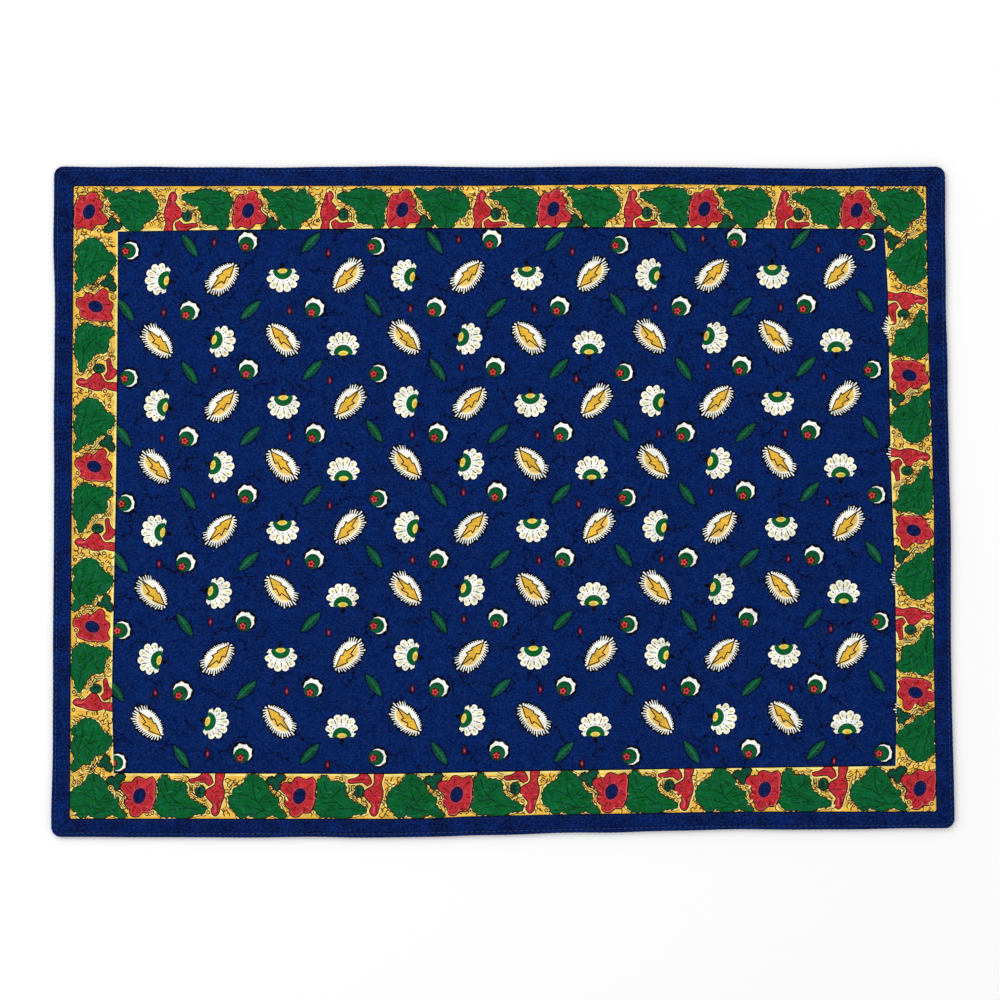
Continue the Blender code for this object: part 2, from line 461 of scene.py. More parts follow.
# The leaf that follows a poppy: a wide back edge and a lobe that reaches the field
first_vine_leaf = vine_leaf(
    [(-13.6, 9.2), (-10.4, 10.4), (-7.4, 8.6), (-4.6, 8.6), (-0.6, 10.5), (3.0, 9.6), (5.6, 8.5),
     (9.4, 10.4), (12.0, 7.2), (15.2, 3.6), (15.0, -1.6), (11.6, -5.6), (8.2, -6.8), (7.2, -9.6),
     (3.8, -12.4), (0.2, -10.8), (-3.8, -7.4), (-4.8, -4.0), (-7.0, -1.2), (-9.9, 0.2), (-9.0, 3.0),
     (-11.4, 6.0)],
    [[(-9.0, 6.0), (-2.0, 6.4), (5.0, 4.0), (11.5, 3.8)], [(-2.0, 6.0), (2.0, 8.0), (6.0, 7.6)],
     [(-3.0, 6.2), (1.0, 2.0), (3.0, -3.0), (3.4, -9.4)], [(1.4, 1.4), (6.0, -1.0), (10.5, -2.4)],
     [(0.6, 2.4), (-2.6, -1.0), (-4.4, -2.4)]], 5, slice(32, 44), (2.3, 3.5))

# The leaf that comes before a poppy: a long toothed back edge and a lobe low at its front
second_vine_leaf = vine_leaf(
    [(-13.2, 5.6), (-11.2, 8.0), (-7.6, 7.9), (-4.2, 9.6), (0.2, 10.5), (4.4, 9.3), (9.2, 9.6),
     (12.2, 7.0), (13.9, 3.2), (12.0, -0.8), (11.4, -4.0), (12.0, -7.4), (8.0, -12.0), (5.4, -8.6),
     (0.8, -8.4), (-2.8, -6.4), (-2.6, -2.0), (-5.2, 0.6), (-9.4, 3.0)],
    [[(-10.0, 6.0), (-3.0, 5.0), (4.0, 5.6), (10.0, 6.0)],
     [(-2.0, 5.0), (3.0, 2.0), (8.0, 2.6), (12.0, 2.4)],
     [(1.0, 3.0), (5.6, -1.0), (7.4, -5.0), (8.2, -9.6)],
     [(4.6, -0.2), (1.0, -3.6), (-1.6, -5.0)]], 6, slice(28, 38), (2.2, 3.4))
print("vine leaves:", len(first_vine_leaf), "and", len(second_vine_leaf), "shapes")


# %% Lily and small border leaf
def ticks(inks, half, end, turn, places):
    """Short strokes in two inks by turns, each turned by some degrees more than the one before."""
    return [stroke(inks[n % 2], [(-half, 0), (half, 0)], 0.5, end, None, *place, turn * n)
            for n, place in enumerate(places)]


def lily():
    """A side view of a red lily: a knob-ended tube, a lower petal and a dark green calyx ahead."""
    body = closed_curve([(-2.6, 7.4), (-0.8, 8.9), (0.9, 7.4), (1.0, 5.4), (0.0, 3.6), (1.8, 1.2), (3.9, -1.2),
                         (3.2, -4.2), (0.2, -5.8), (-1.2, -8.0), (-1.4, -13.0), (-5.8, -13.0), (-4.4, -7.6),
                         (-5.4, -3.4), (-4.8, 0.4), (-3.6, 3.6)], 2)
    lower = closed_curve([(0.4, -7.0), (2.4, -6.2), (4.6, -8.0), (8.0, -7.8), (11.2, -7.6), (12.0, -9.2),
                          (9.0, -9.8), (6.4, -11.2), (5.2, -13.0), (2.6, -12.0), (0.8, -9.8)], 2)
    spots = []
    for part in (lower, body):
        spots += [("pale_yellow", grown(part, 1.0)), ("umber", grown(part, 0.45)), ("red", grown(part, -0.1))]
    spots += [("umber", oval(6.5, -3.4, 2.9, 3.5, 12)), ("dull_green", oval(6.5, -3.5, 2.3, 2.9, 10))]
    spots += ticks(("mid_green", "black"), 0.7, 0.4, 50,
                   ((6.0, -5.6), (7.0, -4.4), (5.4, -3.6), (6.6, -2.4), (5.6, -1.6), (7.2, -3.2)))
    for route in ([(-2.0, 7.6), (-2.2, 4.6), (-1.6, 2.2)], [(-4.2, 1.4), (-3.0, 1.8), (-1.6, 2.4)],
                  [(-4.4, -4.8), (-3.0, -5.4), (-2.4, -8.6)], [(-0.4, -2.0), (1.0, -4.2), (2.4, -4.4)],
                  [(3.4, -9.4), (6.0, -9.4), (10.0, -8.8)]):
        spots.append(stroke("dark_red", curve(route, 6), 0.3, 0.25, 0.6))
    spots.append(stroke("rose", curve([(-0.6, 7.4), (-1.0, 4.6), (0.0, 2.4)], 5), 0.7, 0.3, 0.8))
    return spots + ticks(("rose", "dark_red"), 0.8, 0.3, 40,
                         ((-3.6, -0.4), (-1.4, -1.2), (-2.8, -7.4), (1.2, -1.0), (2.8, -10.4),
                          (-2.2, -3.4), (-3.4, 3.2), (5.6, -9.8), (-2.6, -10.6)))


def sprig_leaf():
    """A small dark leaf with three pointed lobes."""
    lobes = ((205, 5.4), (100, 5.2), (10, 4.6))
    spots = []
    for turn, long in lobes:
        lobe = moved(toothed(pointed_oval(long * 0.62, 2.3, 7, 0.7), 1.9, 0.4), x=long * 0.42)
        spots.append(("umber", moved(grown(lobe, 0.35), 0.4, -1.4, turn)))
    for turn, long in lobes:
        lobe = moved(pointed_oval(long * 0.56, 1.85, 6, 0.7), x=long * 0.42)
        spots += [("dull_green", moved(lobe, 0.4, -1.4, turn)),
                  stroke("leaf_green", [(0.4, 0), (long - 1.4, 0)], 0.4, 0.3, 1.3, 0.4, -1.4, turn)]
    return spots


print("lily:", len(lily()), "shapes")


# %% Filling marks
RING = [("pale_yellow", oval(0, 0, 1.5, 1.5, 8)), ("brown", oval(0, 0, 1.2, 1.2, 8)),
        ("yellow", oval(0, 0, 0.6, 0.6, 6))]
CURL = [stroke("brown", [((0.7 + 0.0046 * a) * math.cos(math.radians(a)),
                          (0.7 + 0.0046 * a) * math.sin(math.radians(a))) for a in range(0, 281, 56)],
               0.4, 0.65, 0.65)]
COMMA = [stroke("brown", [(-1.3, -0.2), (0.2, 0.45), (1.3, -0.3)], 0.75, 0.25, 0.6)]
WAVE = [stroke("pale_yellow", [(-1.8, -0.5), (1.8, -0.4)], 0.9),
        stroke("brown", [(-2.2, 0), (-0.8, 0.6), (0.8, -0.5), (2.2, 0.1)], 0.35, 0.35, 0.65)]
BARS = [stroke("brown", [(-1.0, 0), (1.0, 0)], 0.45, 0.5, y=y) for y in (-1.1, 0, 1.1)]
MARKS = [RING, CURL, CURL, COMMA, COMMA, COMMA, WAVE, WAVE, BARS]
print("filling marks:", [len(mark) for mark in MARKS], "shapes")


# %% [markdown]
# ## Laying the print out
#
# The cloth has three zones: the rim that the tape hides, the yellow border and the navy field. The
# field's motifs repeat in columns and rows that fan out a little towards the front, as the cloth was
# cut and sewn a little askew. The border runs clockwise from the back left corner, and each side
# turns the same motifs by a quarter.

# %% Zones
RIM, BORDER, FIELD = 0, 1, 2

# The line where the yellow border meets the navy field, in mm, anticlockwise from the front left
FIELD_EDGE = np.array([
    (-204.1, -142.3), (-145, -142.4), (-60, -142.7), (19, -141.1), (93, -140.0), (205.8, -138.4),
    (206.5, -98.6), (205.5, -33.0), (203.4, 19.4), (201.8, 111.2), (199.9, 143.2),
    (50, 144.2), (-60, 143.6), (-158, 142.6), (-202.0, 141.8),
    (-202.0, 111.0), (-203.0, 6.0), (-205.1, -98.6),
])

shapes = []         # the whole print in painter's order: zone, ink, outline


def print_motif(zone, motif, x, y, turn, size=1.0):
    """Adds a motif's shapes to the print at a place and a turn in degrees."""
    for ink, outline in motif:
        shapes.append((zone, INK_NAMES.index(ink), moved(outline, x, y, turn, size)))


print("field", np.round(FIELD_EDGE.max(0) - FIELD_EDGE.min(0), 1), "mm")


# %% The field's repeat
# The least y and the greatest x, in mm, at which a motif is printed. A large one is left out where
# only a petal or a fringe of it would show at the front or right.
ANYWHERE, NOT_IN_FRONT, WELL_IN = (-152, 215), (-143, 215), (-143, 199)

# Each row is a motif, its limits, and its places across and down one repeat with their turns in degrees.
FIELD_REPEAT = [
    (half_daisy(), WELL_IN, [(0.0, -0.084, 183), (0.532, -0.022, 78), (0.72, 0.449, -105), (0.243, 0.577, 2)]),
    (gold_leaf(-1), NOT_IN_FRONT, [(0.266, -0.033, 223)]),
    (gold_leaf(), NOT_IN_FRONT, [(0.758, -0.027, 51), (0.495, 0.456, -42)]),
    (gold_leaf(-1), NOT_IN_FRONT, [(0.996, 0.457, 128)]),
    (bud(), ANYWHERE, [(0.122, 0.230, 58), (0.6155, 0.235, 50), (0.855, 0.709, 66)]),
    (bud(0.6), ANYWHERE, [(0.377, 0.738, 8)]),
    (small_leaf(), ANYWHERE, [(0.625, 0.71, -56), (0.118, 0.704, 46), (0.367, 0.196, -55), (0.869, 0.222, 43)]),
    (tiny_bud(), ANYWHERE, [(0.724, 0.69, 0), (0.188, 0.787, 0), (0.519, 0.225, 0), (0.026, 0.233, 0)]),
]
REPEATS = [(row, column) for row in range(-1, 6) for column in range(-1, 4)]


# How sewing and ironing have pulled the cloth, in mm: the factors of 1, u, v, uu, uv, vv, uuu, uuv, uvv
# and vvv, where u and v run from -1 to 1 over the field.
PULL_X = [0.57, -1.23, -0.07, -0.95, -0.11, -0.91, 1.74, 1.41, 0.25, -0.63]
PULL_Y = [0.63, -0.98, -1.68, -0.51, -0.01, -1.73, 1.62, 0.06, 0.06, 2.84]


def repeat_place(across, down):
    """Where the print's repeat puts a place across and down it, counted in repeats, in mm."""
    c, r = across - 1.0, down - 1.5
    x = 14.5 + 130.57 * c + 0.745 * r + 1.203 * c * r
    y = 17.33 + 1.11 * c - 66.52 * r
    u, v = np.clip(x / 199, -1.1, 1.1), np.clip(y / 136, -1.1, 1.1)
    powers = np.array([1, u, v, u * u, u * v, v * v, u ** 3, u * u * v, u * v * v, v ** 3])
    return x + powers @ PULL_X, y + powers @ PULL_Y


sprigs = random.Random(3)
for row, column in REPEATS:
    for n in range(25):
        x, y = repeat_place(column + (n % 5 + sprigs.random()) / 5, row + (n // 5 + sprigs.random()) / 5)
        lean = sprigs.uniform(-75, 75)
        route = [(-6, sprigs.uniform(-1, 1)), (0, sprigs.uniform(-1.5, 1.5)), (6, sprigs.uniform(-1, 1))]
        if abs(x) < 212 and abs(y) < 150:
            print_motif(FIELD, twig(route, n), x, y, lean)
for row, column in REPEATS:
    for motif, (lowest, furthest), places in FIELD_REPEAT:
        for across, down, turn in places:
            x, y = repeat_place(column + across, row + down)
            if -215 < x <= furthest and lowest <= y < 152:
                print_motif(FIELD, motif, x, y, turn)
print("shapes in the field", len(shapes))


# %% The border's run
# Each row is a side, the turn and size of its motifs, how far out they lie, whether a poppy stands at
# its first place, and the places of its poppies along the side in mm, in the order of the pattern.
RUNS = [
    ("back", 0, 1.0, -0.5, True, [-217.2, -133.8, -53.0, 26.2, 105.4, 185.2]),
    ("right", -90, 0.97, 0.9, False, [149.5, 66.6, -14.7, -99.7]),
    ("front", 180, 1.05, 0.9, True, [218.8, 137.4, 57.2, -24.1, -106.5, -190.4]),
    ("left", 90, 0.97, 0.8, False, [-149.5, -65.6, 18.4, 102.3]),
]
# Each row is a motif, its place in one unit and its distance out from the strip's middle in mm.
UNIT = [
    (first_vine_leaf, 0.252, 0.0),
    (sprig_leaf(), 0.148, -7.6),
    (second_vine_leaf, 0.741, 0.0),
    (lily(), 0.54, 0.0),
    (poppy(), 0.0, 0.0),
]
# A side's own axis, 0 for x and 1 for y, and the way that is outwards from it
SIDES = {"back": (0, 1), "right": (1, 1), "front": (0, -1), "left": (1, -1)}


def strip_place(side, along, out):
    """The place on a side, by how far along it and how far out from the strip's middle, in mm."""
    axis, outwards = SIDES[side]
    lines = []
    for loop in (seam, FIELD_EDGE):
        points = loop[loop[:, 1 - axis] * outwards > (130, 180)[axis]]
        points = points[np.argsort(points[:, axis])]
        lines.append(np.interp(along, points[:, axis], points[:, 1 - axis]))
    across = sum(lines) / 2 + out * outwards
    return (across, along) if axis else (along, across)


shapes.append((BORDER, INK_NAMES.index("pale_yellow"), grown(FIELD_EDGE, 1.2)))
before = len(shapes)
for side, turn, size, lean, first, poppies in RUNS:
    pitches = np.diff(poppies)
    for n, start in enumerate(poppies):
        last = n == len(pitches)
        for motif, place, out in UNIT:
            along = start + place * pitches[n - last]
            left_out = last and place > 0.3 or n == 0 and place == 0.0 and not first
            if not left_out and abs(along) <= (232, 171)[SIDES[side][0]]:
                print_motif(BORDER, motif, *strip_place(side, along, out * size + lean), turn, size)
SOLID = [INK_NAMES.index(name) for name in ("leaf_green", "red", "dull_green")]
solids = [grown(outline, 1.0) for _, ink, outline in shapes[before:]
          if ink in SOLID and np.ptp(outline, 0).min() > 3]
print("motifs on the border", len(shapes) - before, "shapes,", len(solids), "of them solid")

MARK_STEP = 2.5         # mm between the places where a filling mark is tried
fill = random.Random(8)
spots = []
for side, *_ in RUNS:
    reach = (224, 165)[SIDES[side][0]]
    for n in range(int(2 * reach / MARK_STEP)):
        for m in range(8):
            along, out = -reach + MARK_STEP * (n + fill.random()), -9.6 + MARK_STEP * (m + 0.8 * fill.random())
            spots.append((fill.choice(MARKS), strip_place(side, along, out), fill.uniform(0, 360)))
places = np.array([place for _, place, _ in spots])
free = ~np.any([inside(places, outline) for outline in solids], axis=0)
for (mark, place, turn), fits in zip(spots, free):
    if fits:
        print_motif(BORDER, mark, *place, turn)
print("filling marks", int(free.sum()), "of", len(spots))
print("shapes in the whole print", len(shapes))


# %% [markdown]
# ## From drawing to cloth
#
# A flat drawing could become an image, but then it would blur up close. Here it becomes a mosaic: a
# Delaunay triangulation is told to keep every outline as an edge, so each triangle lies in one ink.
# The shape that was laid last over a triangle gives its ink. Most outlines are hidden under later
# ones, so the first mosaic only finds which edges part two inks, and the second keeps those alone.

# %% Rails with even steps
RUN_STEPS = 12          # points in each rounded run between two points of the CAD outline


def smoothed(loop):
    """The loop with rounded runs between its points."""
    found = []
    for n in range(len(loop)):
        a, b, c, d = (loop[(n + k) % len(loop)] for k in (-1, 0, 1, 2))
        span = np.linalg.norm(c - b)
        leave = (c - a) / (np.linalg.norm(b - a) + span) * span
        arrive = (d - b) / (span + np.linalg.norm(d - c)) * span
        for f in np.arange(RUN_STEPS) / RUN_STEPS:
            found.append((2 * f**3 - 3 * f**2 + 1) * b + (f**3 - 2 * f**2 + f) * leave
                         + (3 * f**2 - 2 * f**3) * c + (f**3 - f**2) * arrive)
    return np.array(found)


def corner_marks(loop):
    """The numbers of the points where each round corner starts and ends."""
    gaps = gaps_after(loop)
    behind = np.roll(gaps, 1)
    return np.nonzero((behind > SIDE_GAP) & (gaps < ARC_GAP) | (behind < ARC_GAP) & (gaps > SIDE_GAP))[0]


def even_rails(step):
    """The outer edge and the seam with a point every few mm, still facing each other, how far each
    point has come along the outer edge, and the whole way round."""
    rails = []
    for loop in (outer_edge, seam):
        dense = closed(smoothed(loop))
        marks = [*corner_marks(loop) * RUN_STEPS, len(dense) - 1]
        rails.append([dense[a:b + 1] for a, b in zip(marks, marks[1:])])
    evened = [], []
    for runs in zip(*rails):
        ways = [way_along(run) for run in runs]
        parts = max(2, round(ways[0][-1] / step))
        for found, run, way in zip(evened, runs, ways):
            found.append(points_at(np.arange(parts) / parts * way[-1], way, run))
    edge, inner = map(np.concatenate, evened)
    gaps = gaps_after(edge)
    return edge, inner, np.r_[0, np.cumsum(gaps)[:-1]], float(gaps.sum())


def across_rim(part, edge, inner):
    """The loop of points at a part of the way from the outer edge (0) to the seam (1)."""
    return edge + (inner - edge) * part


print("corners at points", corner_marks(outer_edge), corner_marks(seam))
panel_edge, panel_seam, *_ = even_rails(6.0)

# The CAD panel's own places across the rim, and heights in mm
CUT_EDGE, UNDER_STEP, UNDER_FLAT, TOP_FLAT = 0.20, 1.04, 1.15, 1.25
RIM_BOTTOM, RIM_TOP, MIDDLE_TOP = 1.0, 1.9, 1.5
cut_edge, under_step, under_flat, top_flat = (across_rim(part, panel_edge, panel_seam)
                                              for part in (CUT_EDGE, UNDER_STEP, UNDER_FLAT, TOP_FLAT))
band_edge = grown(panel_seam, -0.35)        # where the border's print ends, a little inside the tape
print("points round the panel", len(cut_edge))


# %% Grounds under the motifs: printed lines, one of them also painted shade at the seam
grounds = [(zone, INK_NAMES.index(ink), outline) for zone, ink, outline in (
    (RIM, "yellow", grown(panel_edge, 2)),
    # The black line printed along the yellow's outer edge, which is also painted shade in the gap at the tape's
    # inner edge
    (RIM, "black", grown(panel_seam, 1)),
    (BORDER, "yellow", grown(panel_seam, 1)),
    (FIELD, "black", grown(FIELD_EDGE, 1)),
    (FIELD, "navy", grown(FIELD_EDGE, -0.7)),
)]
print("whole print", len(shapes) + len(grounds), "shapes")


# %% First mosaic
def loops_to_cut(loops):
    """The points of some closed loops, and the links along them."""
    points, links = [], []
    for loop in loops:
        start, count = len(points), len(loop)
        points += [tuple(p) for p in loop]
        links += [(start + n, start + (n + 1) % count) for n in range(count)]
    return points, links


def cut(points, links):
    """Triangles over all the points, with an edge along every link."""
    made = delaunay_2d_cdt([Vector(p) for p in points], links, [], 0, 1e-5, False)
    return np.array([tuple(p) for p in made[0]]), np.array([tuple(f) for f in made[2]])


def inks_at(points):
    """The ink that shows at each point, or -1 outside the cloth."""
    zones, found = np.full(len(points), RIM), np.full(len(points), -1)
    zones[in_batches(inside, points, band_edge)] = BORDER
    zones[in_batches(inside, points, FIELD_EDGE)] = FIELD
    order = np.argsort(points[:, 0])
    xs = points[order, 0]
    for zone, ink, outline in grounds + shapes:
        (left, front), (right, back) = outline.min(0), outline.max(0)
        near = order[slice(*np.searchsorted(xs, (left, right)))]
        near = near[(points[near, 1] > front) & (points[near, 1] < back) & (zones[near] == zone)]
        found[near[in_batches(inside, points[near], outline)]] = ink
    found[~in_batches(inside, points, cut_edge)] = -1
    return found


corners, tiles = cut(*loops_to_cut([cut_edge, band_edge, FIELD_EDGE]
                                   + [outline for *_, outline in grounds[1:] + shapes]))
tile_inks = inks_at(corners[tiles].mean(1))
print("first mosaic", len(corners), "points", len(tiles), "triangles")


# %% Edges that part two inks
def parting_edges(triangles, inks, count):
    """The edges that have a different ink on each side."""
    edges = np.sort(np.concatenate([triangles[:, [0, 1]], triangles[:, [1, 2]], triangles[:, [2, 0]]]), axis=1)
    keys = edges[:, 0] * count + edges[:, 1]
    order = np.argsort(keys, kind="stable")
    keys, owners = keys[order], np.tile(inks, 3)[order]
    parts = (keys[1:] == keys[:-1]) & (owners[1:] != owners[:-1])
    return edges[order[1:][parts]]


def straightened(points, edges, slack):
    """The same edges without the points that lie within the slack of a straight run."""
    joined = {}
    for a, b in edges.tolist():
        joined.setdefault(a, set()).add(b)
        joined.setdefault(b, set()).add(a)
    for point in list(joined):
        if len(joined[point]) != 2:
            continue
        a, b = joined[point]
        run, off = points[b] - points[a], points[point] - points[a]
        long = math.hypot(*run)
        if long < 1e-9 or b in joined[a] or abs(run[0] * off[1] - run[1] * off[0]) / long > slack:
            continue
        joined[a].discard(point)
        joined[b].discard(point)
        joined[a].add(b)
        joined[b].add(a)
        del joined[point]
    return [(a, b) for a in joined for b in joined[a] if a < b]


kept = straightened(corners, parting_edges(tiles, tile_inks, len(corners)), 0.03)
print("edges that show", len(kept))


# %% Second mosaic
GRID_STEP = 6.0         # mm between the points that carry the relief where the print has none
points, links = loops_to_cut((cut_edge, panel_seam, top_flat))
number = {}
for a, b in kept:
    for end in (a, b):
        if end not in number:
            number[end] = len(points)
            points.append(tuple(corners[end]))
    links.append((number[a], number[b]))
grid = np.array([(x, y) for x in np.arange(-232, 233, GRID_STEP) for y in np.arange(-171, 172, GRID_STEP)])
points += [tuple(p) for p in grid[inside(grid, grown(top_flat, -2))]]
corners, tiles = cut(points, links)
tile_inks = inks_at(corners[tiles].mean(1))
tiles, tile_inks = tiles[tile_inks >= 0], tile_inks[tile_inks >= 0]
print("second mosaic", len(corners), "points", len(tiles), "triangles")


# %% [markdown]
# ## The printed panel
#
# The mosaic is the cloth's top. It is lifted into its real relief: level in the middle with the slow
# waves of cloth that was folded once, and rising at the rim to pass into the tape. The underside and
# the cut edge close it, so it is a real thin cloth and not a bare surface.

# %% Relief
def from_loop(places, loop):
    """The distance of each place from a closed loop."""
    runs = np.roll(loop, -1, 0) - loop
    places = places[:, None]
    f = np.clip(np.sum((places - loop) * runs, 2) / np.sum(runs * runs, 1), 0, 1)
    return np.linalg.norm(places - loop - runs * f[..., None], axis=2).min(1)


def waves(x, y, seed, length, count=7):
    """Slow random waves between about -1 and 1, with crests about a length apart."""
    pick = np.random.default_rng(seed)
    total = 0
    for n in range(count):
        angle = pick.uniform(0, math.tau)
        turns = math.tau / (length * pick.uniform(0.7, 1.8))
        total = total + np.sin((x * math.cos(angle) + y * math.sin(angle)) * turns + pick.uniform(0, math.tau))
    return total / math.sqrt(count) / 1.4


# Widths in mm: the cloth's slope from the rim to its middle, and how far in its waves grow or fade
SLOPE, WAVES_GROW, PUCKERS_FADE = 2.4, 25, 5


def cloth_top(places):
    """The height of the cloth's top in mm."""
    x, y = places.T
    away = in_batches(from_loop, places, panel_seam)
    within = in_batches(inside, places, panel_seam)
    ease = np.where(within, np.clip(away / SLOPE, 0, 1), 0.0)
    ease = ease * ease * (3 - 2 * ease)
    slow = np.where(within, np.clip(away / WAVES_GROW, 0, 1), 0.0)
    relief = 0.16 * waves(x, y, 4, 90) + 0.05 * waves(x, y, 9, 22)
    puckers = 0.10 * waves(x, y, 6, 9) * np.exp(-away / PUCKERS_FADE) * within
    return RIM_TOP + (MIDDLE_TOP - RIM_TOP) * ease + relief * slow + puckers * ease


used = np.unique(tiles)
new_number = np.full(len(corners), -1)
new_number[used] = np.arange(len(used))
top_places = corners[used]
top_faces = new_number[tiles]
a, b, c = (top_places[top_faces[:, n]] for n in range(3))
top_faces[np.cross(b - a, c - a) < 0] = top_faces[np.cross(b - a, c - a) < 0][:, ::-1]
top_heights = cloth_top(top_places)
print("top heights in mm", round(top_heights.min(), 2), "to", round(top_heights.max(), 2))


# %% Panel mesh
def mesh_in_mm(name, points, links, faces):
    """A mesh from points in mm."""
    mesh = bpy.data.meshes.new(name)
    mesh.from_pydata((np.asarray(points) * MM).tolist(), links, faces)
    return mesh


def in_scene(name, data):
    """A new object that is linked to the scene."""
    made = bpy.data.objects.new(name, data)
    bpy.context.scene.collection.objects.link(made)
    return made


panel_points = [np.column_stack([top_places, top_heights])]
panel_faces = top_faces.tolist()
upper = [int(np.argmin(np.sum((top_places - place) ** 2, axis=1))) for place in cut_edge]
start, count = len(top_places), len(cut_edge)
for row, height in ((cut_edge, RIM_BOTTOM), (under_step, RIM_BOTTOM), (under_flat, 0.0)):
    panel_points.append(np.column_stack([row, np.full(count, height)]))
    lower = list(range(start, start + count))
    panel_faces += [[upper[n - 1], lower[n - 1], lower[n], upper[n]] for n in (*range(1, count), 0)]
    start, upper = start + count, lower
panel_faces.append(upper[::-1])
panel_mesh = mesh_in_mm("printed_cloth", np.concatenate(panel_points), [], panel_faces)
panel_mesh.validate()
printed_cloth = in_scene("printed_cloth", panel_mesh)
print("printed cloth faces", len(panel_mesh.polygons))


# %% Inks and the flat map on the panel
palette = np.array([linear(INKS[name]) for name in INK_NAMES])
face_inks = np.full(len(panel_mesh.polygons), INK_NAMES.index("navy"))
face_inks[:len(tile_inks)] = tile_inks
sides = np.empty(len(panel_mesh.polygons), int)
panel_mesh.polygons.foreach_get("loop_total", sides)
ink_layer = panel_mesh.color_attributes.new("ink", "FLOAT_COLOR", "CORNER")
ink_layer.data.foreach_set("color", palette[np.repeat(face_inks, sides)].ravel())

# The top fills the upper three quarters of the map, and the underside is small in the rest of it.
corner_of = np.empty(len(panel_mesh.loops), int)
panel_mesh.loops.foreach_get("vertex_index", corner_of)
where = np.array([vertex.co[:2] for vertex in panel_mesh.vertices])[corner_of] / MM
wide = panel_edge[:, 0].max() - panel_edge[:, 0].min()
unit = (where - panel_edge.min(0)) / wide
on_top = np.repeat(np.arange(len(sides)) < len(tile_inks), sides)[:, None]
flat_map = np.where(on_top, unit * 0.998 + (0.001, 0.999 - unit[:, 1].max() * 0.998), unit * 0.3 + 0.005)
panel_mesh.uv_layers.new(name="OFBake").data.foreach_set("uv", flat_map.ravel())
panel_mesh.shade_smooth()
panel_mesh.set_sharp_from_angle(angle=math.radians(40))
print("map", flat_map.min(0).round(3), flat_map.max(0).round(3))


# %% [markdown]
# ## The edge binding
#
# A strip of navy cotton is folded over the cloth's rim and sewn down. Swept round the mat it is one
# closed channel. What makes it cloth and not a frame is the small relief: the rolled fold outside
# the stitches, a dimple at every stitch, the loose puff between the rows and the folded mitres.

# %% Section of the tape
STITCH = 2.9            # mm, as measured against the mat's length
LEG_UNDERSIDE, TAPE_TOP, TAPE = 2.2, 2.9, 0.7

# Each row is a place from the outer edge (0) to the seam (1) and a height in mm, round the section.
TOP_OF_TAPE = [
    (1.000, 2.20), (1.004, 2.34), (1.000, 2.50), (0.985, 2.64), (0.955, 2.70), (0.925, 2.66), (0.900, 2.62),
    (0.870, 2.68), (0.820, 2.80), (0.730, 2.88), (0.620, 2.90), (0.500, 2.88), (0.390, 2.82), (0.310, 2.74),
    (0.260, 2.64), (0.232, 2.54), (0.210, 2.50), (0.188, 2.55), (0.160, 2.68), (0.120, 2.76), (0.080, 2.68),
    (0.045, 2.46), (0.018, 2.08), (0.004, 1.72), (0.000, 1.40), (0.006, 0.95), (0.026, 0.45), (0.056, 0.14),
    (0.100, 0.00),
]
REST_OF_TAPE = [(1.0, 0.0), (1.0, TAPE), (0.16, TAPE), (0.16, LEG_UNDERSIDE)]

tape_edge, tape_seam, travelled, whole_way = even_rails(STITCH / 4)
stitches_round = round(whole_way / STITCH)
pitch = whole_way / stitches_round
print("tape round the mat", round(whole_way), "mm,", stitches_round, "stitches of", round(pitch, 3), "mm")


# %% Relief of the tape
def bell(x, width):
    """One at 0, falling smoothly to nothing beyond the width."""
    return np.exp(-(x / width) ** 2)


corner_ways = [travelled[np.argmax(tape_edge @ way)] for way in ((-1, -1), (1, -1), (1, 1), (-1, 1))]
from_mitres = [(travelled - way + whole_way / 2) % whole_way - whole_way / 2 for way in corner_ways]
needle = 0.5 + 0.5 * np.cos(math.tau * (travelled / pitch - 0.5))       # 1 at each hole and 0 between
OUTER_ROW, INNER_ROW = 0.21, 0.90       # the rows of stitches, as parts of the tape's width
TAPE_WIDE = 9.5         # mm


def tape_point(part, height):
    """A loop of points round the mat, at a part of the tape's section, with the cloth's relief."""
    lift, shift = np.zeros(len(travelled)), np.zeros(len(travelled))
    if height > 1.0:
        lift -= 0.20 * needle * bell(part - OUTER_ROW, 0.055)
        lift -= 0.12 * needle * bell(part - INNER_ROW, 0.05)
        lift -= 0.10 * needle * bell(part - 0.08, 0.06)
        shift += 0.16 * needle * bell(part, 0.07)
        lift += 0.09 * waves(travelled, part * 9.0, 12, 30) * bell(part - 0.55, 0.35)
        lift += 0.05 * waves(travelled, part * 9.0, 13, 7) * bell(part - 0.4, 0.4)
        for gap in from_mitres:
            lift += 0.18 * bell(gap, 7.0) * bell(part - 0.5, 0.4)
            lift -= 0.42 * bell(gap - 0.3, 0.55) * (0.15 < part < 0.99)
    shift += 0.22 * waves(travelled, 0.0, 14, 45) * bell(part, 0.3)
    places = across_rim(part + shift[:, None] / TAPE_WIDE, tape_edge, tape_seam)
    return np.column_stack([places, np.maximum(height + lift, 0.0)])


rows = [tape_point(part, height) for part, height in TOP_OF_TAPE + REST_OF_TAPE]
stations = len(travelled)
tape_faces = []
for k in range(len(rows)):
    here, there = k * stations, (k + 1) % len(rows) * stations
    for n in range(stations):
        m = (n + 1) % stations
        tape_faces.append((here + n, there + n, there + m, here + m))
tape_mesh = mesh_in_mm("bound_edge", np.concatenate(rows), [], tape_faces)
shell = bmesh.new()
shell.from_mesh(tape_mesh)
bmesh.ops.recalc_face_normals(shell, faces=shell.faces)
shell.to_mesh(tape_mesh)
shell.free()
bound_edge = in_scene("bound_edge", tape_mesh)
tape_mesh.shade_smooth()
tape_mesh.set_sharp_from_angle(angle=math.radians(50))
print("bound edge faces", len(tape_mesh.polygons))


# %% Dye and painted shade of the tape
NAVY_TAPE = "#031c51"


